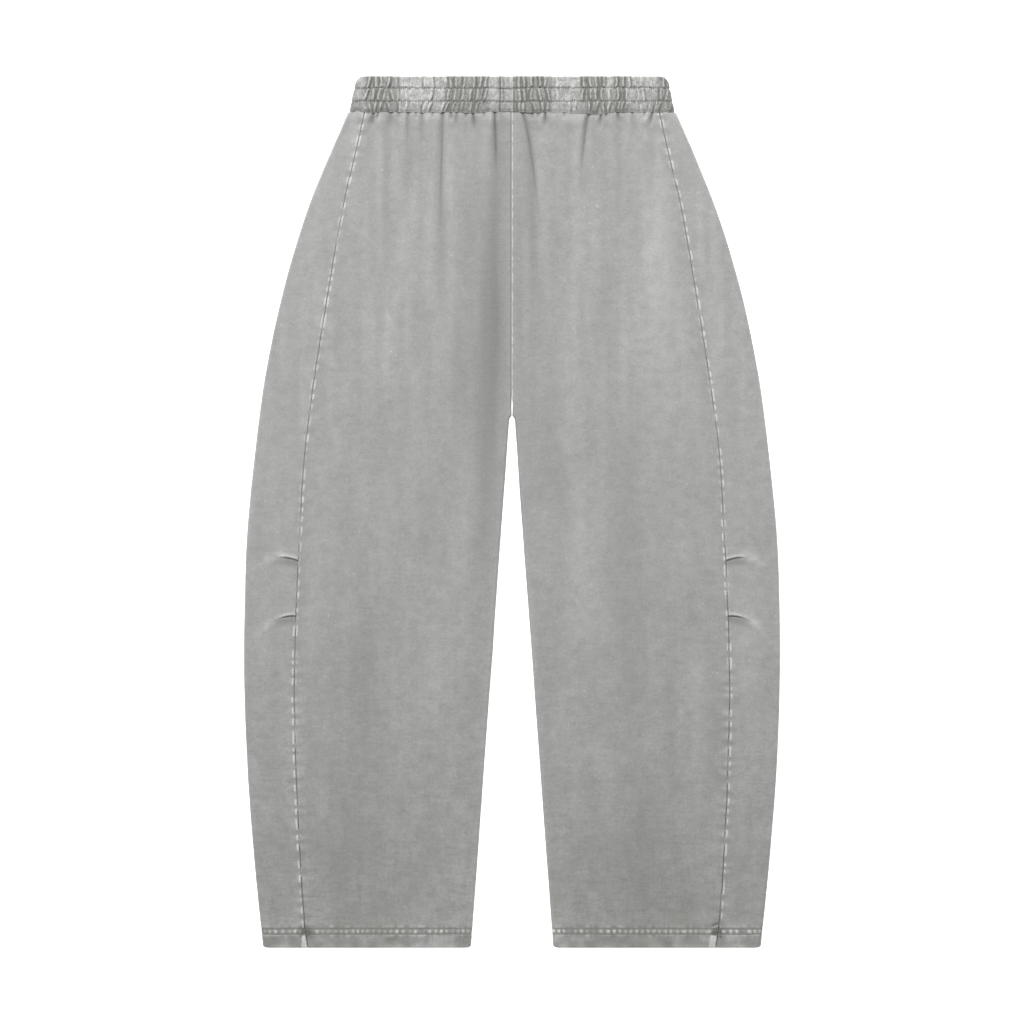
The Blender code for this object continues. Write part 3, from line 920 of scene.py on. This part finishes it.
def band_stitching(relief, side, front, pads):
    """The two rows that pinch the band, with small puckers like teeth on each."""
    loose = ease((relief.across - FLAT_ZONE[side]) / 4)
    drift = 0.5 * strand(relief.across, 0, (9, 9), 24)
    beads = np.sin(2 * np.pi * (relief.across / 2.4 + drift))
    for row in BAND_ROWS:
        off = relief.down - row
        relief.add(bell(off, 0.95), rise=-0.65)
        teeth = 0.7 * strand(relief.across, row, (1.5, 9), 23) + 0.6 * beads
        relief.add(bell(off, 0.8) * (1 - 0.5 * pads * loose) * (1 - 0.6 * teeth * loose), deep=0.27)
        relief.add(bell(off, 0.7) * (1 - loose), rise=-0.3, deep=0.3)
        beside_row = bell(np.abs(off) - 1.2, 0.9) * front * loose
        relief.patches(beside_row, teeth, up=0.6, worn=1.0, sink=0.5, deep=0.9)


def band_join(relief, side, front):
    """The flat zone at the centre front, where the band was joined and sewn down."""
    across = relief.across
    if side == "right":
        relief.add(front * bell(across - 13.4, 0.8), rise=-0.8, deep=0.7)
        relief.add(front * bell(across - 11.6, 0.8), rise=0.4, worn=0.6)
    else:
        relief.add(front * bell(across - 2.2, 0.8), rise=-0.7, deep=0.7)
    relief.add(front * bell(across, 0.7), rise=-0.5, deep=0.35)
    relief.add(front * bell(across - 0.9, 0.7), worn=0.7 if side == "left" else 0.2)


def band_half(side):
    """One half of the waistband, from the centre front round the side to the centre back."""
    seed = 130 if side == "right" else 150
    rows = stepped((0.0, 0.22), (2.2, 0.62), (BAND_DEPTH, 1))
    down = rows[:, None]
    half = through(BAND_SECTIONS, "half", down)
    share = np.linspace(0, 1, BAND_COLUMNS)[None, :]
    across = SEAM_GAP / 2 + (half - BAND_HEIGHT / 2 - SEAM_GAP / 2) * share
    turn = turned_edge(half, BAND_HEIGHT, BAND_TURN_STEPS, 0)
    back = turned_over(level(across[:, ::-2], BAND_HEIGHT), BAND_HEIGHT)
    skin = join(level(across, BAND_HEIGHT), turn, back)
    front = (skin.out_up > 0) * 1.0
    relief = Relief(skin.across, down)
    pads = pad_share(relief.across + 1.6 * relief.noise((6, 7), seed + 6), PADS[side])
    relief.add(relief.noise((2.4, 9), seed + 8) * (1 - 0.75 * pads), rise=0.4, worn=0.1)
    relief.patches(1, relief.noise((1.4, 1.9), seed + 11), up=0.13, worn=0.43, sink=0.13, deep=0.37)
    relief.add(relief.noise((4.5, 6), seed + 9) * pads, rise=0.35, worn=0.26)
    relief.add(relief.noise((2.0, 2.6), seed + 10) * pads, rise=0.15, worn=0.24)
    for k, channel in enumerate(CHANNELS[side]):
        top, base = CHANNEL_EDGES[k: k + 2]
        band_channel(relief, top, base, channel.ridges, seed + k, pads)
        inside = ((relief.down >= top) & (relief.down <= base)) * 1.0
        relief.add(inside * pads, worn=0.36 * channel.paleness)
        relief.add(inside * (1 - pads), deep=0.31)
        relief.add(inside * (1 - channel.paleness), deep=0.17)
    relief.rise = np.where(front > 0, relief.rise, relief.rise * 0.6 - 0.6)
    band_stitching(relief, side, front, pads)
    band_join(relief, side, front)
    sewn = bell(relief.down - BAND_DEPTH, 2.7)
    relief.rise = relief.rise * (1 - sewn) + np.where(front > 0, -1.1, -0.4) * sewn
    # Painted highlight lifting the shade on the band's sloping lower edge, which is also worn pale
    relief.add(bell(relief.down - BAND_DEPTH + 2.4, 2.2), worn=0.22)
    relief.add(ease((relief.across - SHADED_FROM) / 6) * front, deep=0.25)
    relief.add(bell(relief.down, 1.8), worn=0.55)
    outer, inner = skins(skin, down, relief, BAND_WALL, fold_end(LENGTH - down, BAND_FOLD))
    shift = scallop(skin.across, BAND_DEPTH - down, side)
    for row in BAND_ROWS:
        shift = shift + band_row_wander(relief.across, row, side) * bell(down - row, 3.0)
    outer[..., 1] -= shift
    inner[..., 1] -= shift
    inner_rows, inner_columns = kept(len(rows), 5), kept(skin.across.shape[1], 4)
    piece = wall("waistband_half_" + side, side, outer, inner, relief, inner_rows, inner_columns)
    return Made(piece, skin, outer, rows)


# %% Make the eight pieces
KINDS = (("waistband", band_half), ("front", front_panel), ("side", side_panel), ("back", back_panel))
made = {(kind, side): make(side) for kind, make in KINDS for side in SCALE}
print("pieces:", len(made), "polygons:", sum(len(one.piece.data.polygons) for one in made.values()))

# %% [markdown]
# ## Node trees
# Thread is laid by Geometry Nodes and the cloth is coloured by shader nodes. Both trees are written
# as plain Python: a value wraps a socket, so that a sum adds its own Math node, and one method adds
# any other node. A tree then reads like the formula that it is.

# %% Values and nodes


def operator(operation, flipped=False):
    """A Python operator that adds a Math node; flipped when the value stands on its right."""

    def apply(self, other):
        first, second = (other, self) if flipped else (self, other)
        return self.maths(operation, first, second)

    return apply


class Value:
    """A number socket of a tree that can be added, subtracted and multiplied."""

    __add__ = operator("ADD")
    __radd__ = operator("ADD", True)
    __sub__ = operator("SUBTRACT")
    __rsub__ = operator("SUBTRACT", True)
    __mul__ = operator("MULTIPLY")
    __rmul__ = operator("MULTIPLY", True)

    def __init__(self, graph, socket):
        self.graph = graph
        self.socket = socket

    def maths(self, operation, first, second):
        settings, inputs = {"operation": operation}, {0: first, 1: second}
        return Value(self.graph, self.graph.node("ShaderNodeMath", settings, inputs).outputs[0])

    def clamped(self):
        return self.maths("MINIMUM", self.maths("MAXIMUM", self, 0.0), 1.0)


class Graph:
    """A node tree, with one method for adding a node."""

    def __init__(self, tree):
        self.tree = tree

    def node(self, kind, settings=None, inputs=None):
        """A node: its type, its settings first, and then its inputs by name or number."""
        new = self.tree.nodes.new(kind)
        for name, value in (settings or {}).items():
            setattr(new, name, value)
        for key, value in (inputs or {}).items():
            if isinstance(value, Value):
                value = value.socket
            if isinstance(value, bpy.types.NodeSocket):
                self.tree.links.new(value, new.inputs[key])
            else:
                new.inputs[key].default_value = value
        return new


# %% [markdown]
# ## Stitches
# A sewn line is hundreds of the same small arch of thread. Geometry Nodes makes one and repeats it
# along a path that follows the cloth, so each stitch lies in its groove whatever the cloth does. The
# tree has named inputs, so the same one sews the band and the hems.

# %% A tree that sews along a path
STITCH_PITCH = 3.0
THREAD_RADIUS = 0.24
UNEVENNESS = 0.12
SEWING_INPUTS = {"Path": "Geometry", "Pitch": "Float", "Thread Radius": "Float", "Unevenness": "Float",
                 "Seed": "Int", "Thread": "Material"}


def sewing_tree():
    """Geometry Nodes that lay arches of thread along the edges of a mesh."""
    tree = bpy.data.node_groups.new("sewn_line", "GeometryNodeTree")
    tree.interface.new_socket("Stitches", in_out="OUTPUT", socket_type="NodeSocketGeometry")
    for name, kind in SEWING_INPUTS.items():
        tree.interface.new_socket(name, in_out="INPUT", socket_type="NodeSocket" + kind)
    graph = Graph(tree)
    given = graph.node("NodeGroupInput").outputs

    def made_by(kind, output, inputs, settings=None):
        """One output of a new node."""
        return graph.node(kind, settings, inputs).outputs[output]

    def arch_point(along, up):
        """A point of the arch, in shares of the pitch."""
        inputs = {0: (along, 0.0, up), "Scale": given["Pitch"]}
        return made_by("ShaderNodeVectorMath", 0, inputs, {"operation": "SCALE"})

    bow = {
        "Resolution": 4,
        "Start": arch_point(-0.45, -0.04),
        "Middle": arch_point(0.0, 0.16),
        "End": arch_point(0.45, -0.04),
    }
    arch = made_by("GeometryNodeCurveQuadraticBezier", "Curve", bow)
    ring = {"Resolution": 5, "Radius": given["Thread Radius"]}
    section = made_by("GeometryNodeCurvePrimitiveCircle", "Curve", ring)
    swept = {"Curve": arch, "Profile Curve": section, "Fill Caps": True}
    thread = made_by("GeometryNodeCurveToMesh", "Mesh", swept)
    line = {"Curve": made_by("GeometryNodeMeshToCurve", "Curve", {"Mesh": given["Path"]})}
    spaced = {**line, "Length": given["Pitch"]}
    places = graph.node("GeometryNodeCurveToPoints", {"mode": "LENGTH"}, spaced).outputs
    outward = made_by(
        "GeometryNodeInputNamedAttribute", "Attribute", {"Name": "outward"}, {"data_type": "FLOAT_VECTOR"}
    )
    align = "FunctionNodeAlignRotationToVector"
    turn = made_by(align, "Rotation", {"Vector": places["Tangent"]}, {"axis": "X", "pivot_axis": "AUTO"})
    upright = {"Rotation": turn, "Vector": outward}
    turn = made_by(align, "Rotation", upright, {"axis": "Z", "pivot_axis": "X"})
    # Numbers pick the float sockets, because the vector ones of this node have the same names
    sizes = {2: 1.0 - Value(graph, given["Unevenness"]), 3: 1.0, "Seed": given["Seed"]}
    size = made_by("FunctionNodeRandomValue", 1, sizes, {"data_type": "FLOAT"})
    repeats = {"Points": places["Points"], "Instance": thread, "Rotation": turn, "Scale": size}
    stitches = made_by("GeometryNodeInstanceOnPoints", "Instances", repeats)
    stitches = made_by("GeometryNodeRealizeInstances", "Geometry", {"Geometry": stitches})
    stitches = made_by("GeometryNodeSetShadeSmooth", "Geometry", {"Geometry": stitches})
    finish = {"Geometry": stitches, "Material": given["Thread"]}
    stitches = made_by("GeometryNodeSetMaterial", "Geometry", finish)
    graph.node("NodeGroupOutput", None, {"Stitches": stitches})
    return tree


def sew(name, lines, tree, thread, seed):
    """A mesh of stitches along lines; each line is an array of places and one of outward vectors."""
    points, outward = (np.concatenate(parts) for parts in zip(*lines))
    edges, first = [], 0
    for places, _ in lines:
        edges += [(first + k, first + k + 1) for k in range(len(places) - 1)]
        first += len(places)
    mesh = bpy.data.meshes.new(name + "_path")
    mesh.from_pydata(points.tolist(), edges, [])
    arrows = mesh.attributes.new("outward", "FLOAT_VECTOR", "POINT")
    arrows.data.foreach_set("vector", outward.astype(np.float32).reshape(-1))
    path = put(name + "_path", mesh)
    sewing = path.modifiers.new("sewn_line", "NODES")
    sewing.node_group = tree
    values = {"Pitch": STITCH_PITCH * MM, "Thread Radius": THREAD_RADIUS * MM, "Unevenness": UNEVENNESS,
              "Seed": seed, "Thread": thread}
    for socket in tree.interface.items_tree:
        if socket.name in values:
            sewing[socket.identifier] = values[socket.name]
    scene_now = bpy.context.evaluated_depsgraph_get()
    plain = bpy.data.meshes.new_from_object(path.evaluated_get(scene_now), depsgraph=scene_now)
    path.modifiers.remove(sewing)
    bpy.data.objects.remove(path)
    plain.name = name
    print(f"{name}: {len(plain.polygons)} faces")
    return put(name, plain)


def row_line(kind, side, row):
    """Places and outward vectors along the row of a wall that is nearest to a distance down."""
    one = made[kind, side]
    k = int(np.argmin(np.abs(one.down - row)))
    across, up = one.skin.out_across[k] * np.sign(SCALE[side][0]), one.skin.out_up[k]
    out = np.stack([across, up * 0, up], axis=-1)
    return one.outer[k] * SCALE[side] + out * 0.1 * MM, out


# %% [markdown]
# ## Washed fleece
# The cloth is one dye, taken off unevenly by the wash. Broad clouds, short streaks along and across
# the knit, and small pale specks vary the tone a little. The hollows are painted dark and a little
# greener, both for dye kept there and as painted shade, and the edges and tops are painted pale,
# both for wear and as painted highlight. Noise on Object coordinates keeps all pieces in one
# pattern, as they were washed together after sewing.

# %% The fleece and its thread
PALE = (0.478, 0.482, 0.474, 1)
DARK = (0.272, 0.275, 0.264, 1)
HEM_TONE = (0.294, 0.300, 0.277, 1)
# Pale tone for wear and for painted highlights
WEAR_AND_HIGHLIGHT_TONE = (0.78, 0.78, 0.755, 1)
# Dark, greener tone for dye in the hollows and for painted shade
DYE_AND_SHADE_TONE = (0.120, 0.125, 0.107, 1)


class Finish(Graph):
    """A material's tree, with the nodes that the fleece needs again and again."""

    def __init__(self, name):
        self.material = bpy.data.materials.new(name)
        self.material.use_nodes = True
        super().__init__(self.material.node_tree)
        self.tree.nodes.clear()
        self.place = self.node("ShaderNodeTexCoord").outputs["Object"]

    def noise(self, scale, detail=2.0, roughness=0.5, stretch=(1, 1, 1), twist=0.0):
        """Noise about zero, from -0.5 to 0.5; scale is lumps for each metre."""
        spread = self.node("ShaderNodeVectorMath", {"operation": "MULTIPLY"}, {0: self.place, 1: stretch})
        inputs = {"Vector": spread.outputs[0], "Scale": scale, "Detail": detail,
                  "Roughness": roughness, "Distortion": twist}
        return Value(self, self.node("ShaderNodeTexNoise", {}, inputs).outputs["Fac"]) - 0.5

    def field(self, name):
        """One of the two painted fields that the walls carry, for wear and highlight and for dye and
        shade.
        """
        settings = {"attribute_type": "GEOMETRY", "attribute_name": name}
        return Value(self, self.node("ShaderNodeAttribute", settings).outputs["Fac"])

    def mix(self, factor, first, second):
        """A colour between two, by a factor."""
        inputs = {"Factor": factor, 6: first, 7: second}
        return self.node("ShaderNodeMix", {"data_type": "RGBA"}, inputs).outputs[2]


def washed_fleece(name, lift):
    """Brushed fleece after a mineral wash; lift makes the whole tone paler or darker."""
    cloth = Finish(name)
    clouds = cloth.noise(17, 2.0, 0.5, (1, 0.55, 1))
    blotches = cloth.noise(88, 3.0, 0.6)
    across = cloth.noise(75, 2.0, 0.6, (1, 4.5, 1))
    along = cloth.noise(75, 2.0, 0.6, (4.5, 1, 1))
    grain = cloth.noise(560, 2.0, 0.6)
    marks = cloth.noise(330, 1.0, 0.5, (1, 0.6, 1))
    specks = (marks * 8 - 1.3).clamped() * (0.55 + clouds * 2.0).clamped()
    flecks = cloth.noise(260, 3.0, 0.7, (0.75, 1.5, 1), 1.6)
    position = cloth.node("ShaderNodeSeparateXYZ", {}, {0: cloth.place})
    towards_hem = (0.16 - Value(cloth, position.outputs["Y"]) * 1.35).clamped()
    streaks = (across * 0.4 + along * 0.3) * (0.6 + towards_hem)
    rubbed = blotches * 0.75 + streaks + grain * 0.55 + flecks * 0.95
    tone = 0.47 + lift + clouds * (0.3 + towards_hem * 0.12) + rubbed * (0.85 + towards_hem * towards_hem)
    green = cloth.noise(24, 3.0, 0.6, (1, 0.7, 1))
    base = cloth.mix(tone.clamped(), DARK, PALE)
    base = cloth.mix(towards_hem * (0.5 + green * 1.6).clamped(), base, HEM_TONE)
    base = cloth.mix(specks * 0.3, base, WEAR_AND_HIGHLIGHT_TONE)
    # The two fields paint the cloth pale for wear and highlight, then dark for dye and shade
    worn = (cloth.field("worn") * (0.80 + blotches * 0.9 + grain * 1.2)).clamped()
    base = cloth.mix(worn * 0.85, base, WEAR_AND_HIGHLIGHT_TONE)
    deep = (cloth.field("deep") * (0.92 + blotches * 0.7)).clamped()
    base = cloth.mix(deep * 0.85, base, DYE_AND_SHADE_TONE)
    nap = cloth.noise(1500, 3.0, 0.7) * 0.8 + cloth.noise(420) * 0.7
    bump = cloth.node("ShaderNodeBump", {}, {"Strength": 0.35, "Distance": 0.0005, "Height": nap})
    shader = cloth.node("ShaderNodeBsdfPrincipled", {}, {
        "Base Color": base, "Roughness": 0.92, "Sheen Weight": 0.12, "Sheen Roughness": 0.6,
        "Specular IOR Level": 0.25, "Normal": bump.outputs["Normal"],
    })
    output = cloth.node("ShaderNodeOutputMaterial", {}, {"Surface": shader.outputs["BSDF"]})
    output.is_active_output = True
    return cloth.material


def plain_finish(name, values):
    """A material that is the same all over; values are by the names of the shader's sockets."""
    material = bpy.data.materials.new(name)
    material.use_nodes = True
    for socket, value in values.items():
        material.node_tree.nodes["Principled BSDF"].inputs[socket].default_value = value
    return material


thread = plain_finish("grey_thread", {"Base Color": (0.27, 0.275, 0.255, 1), "Roughness": 0.75})
fleece = {
    kind: washed_fleece("washed_fleece_" + kind, lift)
    for kind, lift in (("waistband", 0.12), ("front", 0.03), ("side", 0.09), ("back", 0.0))
}
for (kind, side), one in made.items():
    one.piece.data.materials.append(fleece[kind])
print("finishes:", [material.name for material in fleece.values()], thread.name)

# %% Sew the band and the hems
sewn_line = sewing_tree()
band_lines = [row_line("waistband", side, row) for side in SCALE for row in BAND_ROWS]
hem_lines = [
    row_line(kind, side, row) for kind in ("front", "side", "back") for side in SCALE for row in HEM_ROWS
]
band_stitches = sew("waistband_stitching", band_lines, sewn_line, thread, 3)
hem_stitches = sew("hem_stitching", hem_lines, sewn_line, thread, 4)

# %% [markdown]
# ## Riding on the frame
# Each wall takes the place of its plain solid on the root body, and the thread rides there too. The
# side panel's flat width down the leg is worked out, with the cloth round its edge counted; nothing
# further uses it.

# %% Bodies, and the side panel's flat width
ROUND_EDGE = 0.57
down = np.arange(PANEL_TOP, LENGTH, 1.0)
seam = through(SECTIONS, "seam", down)
side_width = 2 * (outline(down) - seam) + ROUND_EDGE * through(SECTIONS, "height", down)

for (kind, side), one in made.items():
    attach(one.piece, "root")
    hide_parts(f"{kind}_{side}")
for stitches, slot in ((band_stitches, "waistband"), (hem_stitches, "front_panel")):
    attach(stitches, "root")

# %% [markdown]
# ## Floor, light and camera
# A product picture from straight above: a white floor, soft light from all round, and one large soft
# lamp beyond the waist that lets the gathers and seams cast a little shade.

# %% The white floor
FLOOR_REACH = 8.0
FLOOR_HEIGHT = -0.0005
WHITE = (1, 1, 1, 1)

corners = [(FLOOR_REACH * x, FLOOR_REACH * y, 0) for x, y in ((-1, -1), (1, -1), (1, 1), (-1, 1))]
floor_mesh = bpy.data.meshes.new("floor")
floor_mesh.from_pydata(corners, [], [(0, 1, 2, 3)])
floor = put("floor", floor_mesh)
floor.location.z = FLOOR_HEIGHT
floor_mesh.materials.append(plain_finish("white_floor", {
    "Base Color": (0.9, 0.9, 0.9, 1), "Roughness": 1.0, "Specular IOR Level": 0.0,
    "Emission Color": WHITE, "Emission Strength": 0.85,
}))

# %% Lamp, sky and camera
AMBIENT = 0.26
LAMP_POWER = 250.0
LAMP_SIZE = 2.6
LAMP_PLACE = (-0.5, 3.2, 3.4)
CAMERA_HEIGHT = 3.270
CAMERA_AT = (0.0, -0.0001)
LENS = 100.0
SENSOR = 36.0

sky = bpy.data.worlds.new("studio")
sky.use_nodes = True
sky.node_tree.nodes["Background"].inputs["Color"].default_value = WHITE
sky.node_tree.nodes["Background"].inputs["Strength"].default_value = AMBIENT
bpy.context.scene.world = sky

lamp_data = bpy.data.lights.new("soft_lamp", "AREA")
lamp_data.shape = "SQUARE"
lamp_data.size = LAMP_SIZE
lamp_data.energy = LAMP_POWER
lamp = put("soft_lamp", lamp_data)
lamp.location = LAMP_PLACE
lamp.rotation_euler = (-lamp.location).to_track_quat("-Z", "Y").to_euler()

camera_data = bpy.data.cameras.new("camera")
camera_data.lens = LENS
camera_data.sensor_width = SENSOR
camera = put("camera", camera_data)
camera.location = (*CAMERA_AT, CAMERA_HEIGHT)
bpy.context.scene.camera = camera
bpy.context.scene.view_settings.view_transform = "Standard"
print("view width at the cloth:", round(CAMERA_HEIGHT * SENSOR / LENS, 4), "m")
